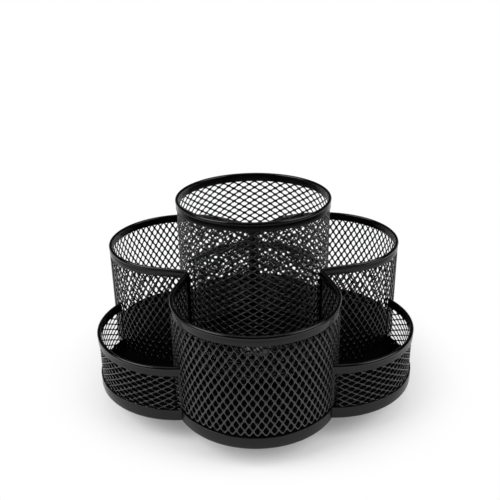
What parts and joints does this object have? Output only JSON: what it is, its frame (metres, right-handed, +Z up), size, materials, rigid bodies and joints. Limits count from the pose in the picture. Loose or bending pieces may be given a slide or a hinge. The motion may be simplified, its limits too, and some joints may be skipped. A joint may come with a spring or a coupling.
{
  "type": "rotating desk organizer",
  "caption": "Round desk organizer with stepped cups of black steel mesh around a tall cup, on a ball-bearing turntable that spins freely.",
  "frame": {"origin": "on the desk, at the axis the organizer spins about", "axes": "+Z up along the spin axis; -Y towards the front cup, the side the picture shows; +X to the viewer's right"},
  "size_m": [0.1704, 0.1828, 0.1066],
  "materials": {
    "black_mesh": "semi-gloss black powder coat on expanded steel mesh",
    "black_paint": "semi-gloss black powder coat on sheet steel",
    "rubber": "matte black rubber",
    "zinc_steel": "zinc-plated pressed steel",
    "ball_steel": "polished bearing steel",
    "cage_plastic": "natural white plastic"
  },
  "bodies": {
    "base": {"base_plate": "black_paint", "foot_1": "rubber", "foot_2": "rubber", "foot_3": "rubber", "foot_4": "rubber", "lower_race": "zinc_steel", "centre_rivet": "zinc_steel", "pivot_washer": "zinc_steel"},
    "bearing_cage": {"ball_cage": "cage_plastic", "ball_1": "ball_steel", "ball_2": "ball_steel", "ball_3": "ball_steel", "ball_4": "ball_steel", "ball_5": "ball_steel", "ball_6": "ball_steel", "ball_7": "ball_steel", "ball_8": "ball_steel"},
    "organizer": {"upper_race": "zinc_steel", "upper_plate": "zinc_steel", "tray_rivet_1": "black_paint", "tray_rivet_2": "black_paint", "tray_rivet_3": "black_paint", "tray_rivet_4": "black_paint", "base_tray": "black_paint", "tall_cup_wall": "black_mesh", "tall_cup_rim": "black_paint", "tall_cup_foot_ring": "black_paint", "front_cup_wall": "black_mesh", "right_cup_wall": "black_mesh", "left_cup_wall": "black_mesh", "front_cup_rim": "black_paint", "right_cup_rim": "black_paint", "left_cup_rim": "black_paint", "front_cup_strip_left": "black_paint", "front_cup_strip_right": "black_paint", "right_cup_strip_left": "black_paint", "right_cup_strip_right": "black_paint", "left_cup_strip_left": "black_paint", "left_cup_strip_right": "black_paint", "low_right_cup_wall": "black_mesh", "low_rear_cup_wall": "black_mesh", "low_left_cup_wall": "black_mesh", "low_right_cup_rim": "black_paint", "low_rear_cup_rim": "black_paint", "low_left_cup_rim": "black_paint", "low_right_cup_strip_left": "black_paint", "low_right_cup_strip_right": "black_paint", "low_rear_cup_strip_left": "black_paint", "low_rear_cup_strip_right": "black_paint", "low_left_cup_strip_left": "black_paint", "low_left_cup_strip_right": "black_paint"}
  },
  "joints": [
    {"name": "organizer_spin", "type": "hinge", "parent": "base", "child": "organizer", "pos_m": [0, 0, 0], "axis": [0, 0, 1], "continuous": true},
    {"name": "cage_spin", "type": "hinge", "parent": "base", "child": "bearing_cage", "pos_m": [0, 0, 0], "axis": [0, 0, 1], "continuous": true}
  ],
  "couplings": [
    {"joint": "cage_spin", "follows": "organizer_spin", "ratio": 0.5}
  ]
}
